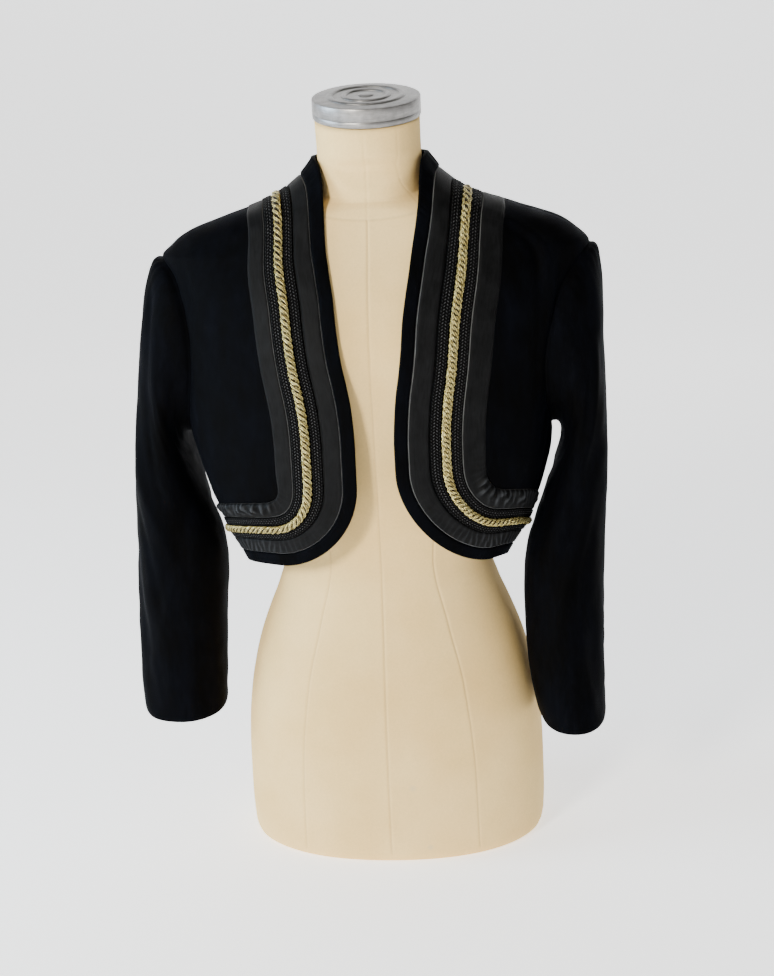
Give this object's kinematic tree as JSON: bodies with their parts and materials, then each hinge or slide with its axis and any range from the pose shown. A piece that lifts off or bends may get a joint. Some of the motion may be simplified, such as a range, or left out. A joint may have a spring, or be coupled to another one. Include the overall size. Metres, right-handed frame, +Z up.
{
  "type": "velvet bolero jacket on a limbless dress form",
  "caption": "Black velvet bolero jacket with ribbon, braid and twisted gold cord borders, worn by a cream cloth-covered dress form with a metal neck cap.",
  "frame": {"origin": "middle of the form's flat underside", "axes": "+X to the wearer's left, +Y to the wearer's back, +Z up along the form"},
  "size_m": [0.5358, 0.2529, 0.8454],
  "materials": {
    "velvet": "black velvet pile with a blue-black sheen",
    "ribbon": "charcoal matt ribbon",
    "braid": "black woven braid",
    "gold": "twisted pale gold metallic cord",
    "form_cover": "cream woven cloth cover",
    "cap_metal": "brushed and turned grey metal"
  },
  "bodies": {
    "root": {"form_body": "form_cover", "form_cap": "cap_metal", "front_right": "velvet", "front_left": "velvet", "back": "velvet", "sleeve_right": "velvet", "sleeve_left": "velvet", "neck_band_back": "velvet", "edge_band_right": "velvet", "edge_band_left": "velvet", "inner_ribbon_right": "ribbon", "inner_ribbon_left": "ribbon", "inner_braid_right": "braid", "inner_braid_left": "braid", "gold_cord_right": "gold", "gold_cord_left": "gold", "outer_braid_right": "braid", "outer_braid_left": "braid", "outer_ribbon_right": "ribbon", "outer_ribbon_left": "ribbon"}
  },
  "joints": []
}
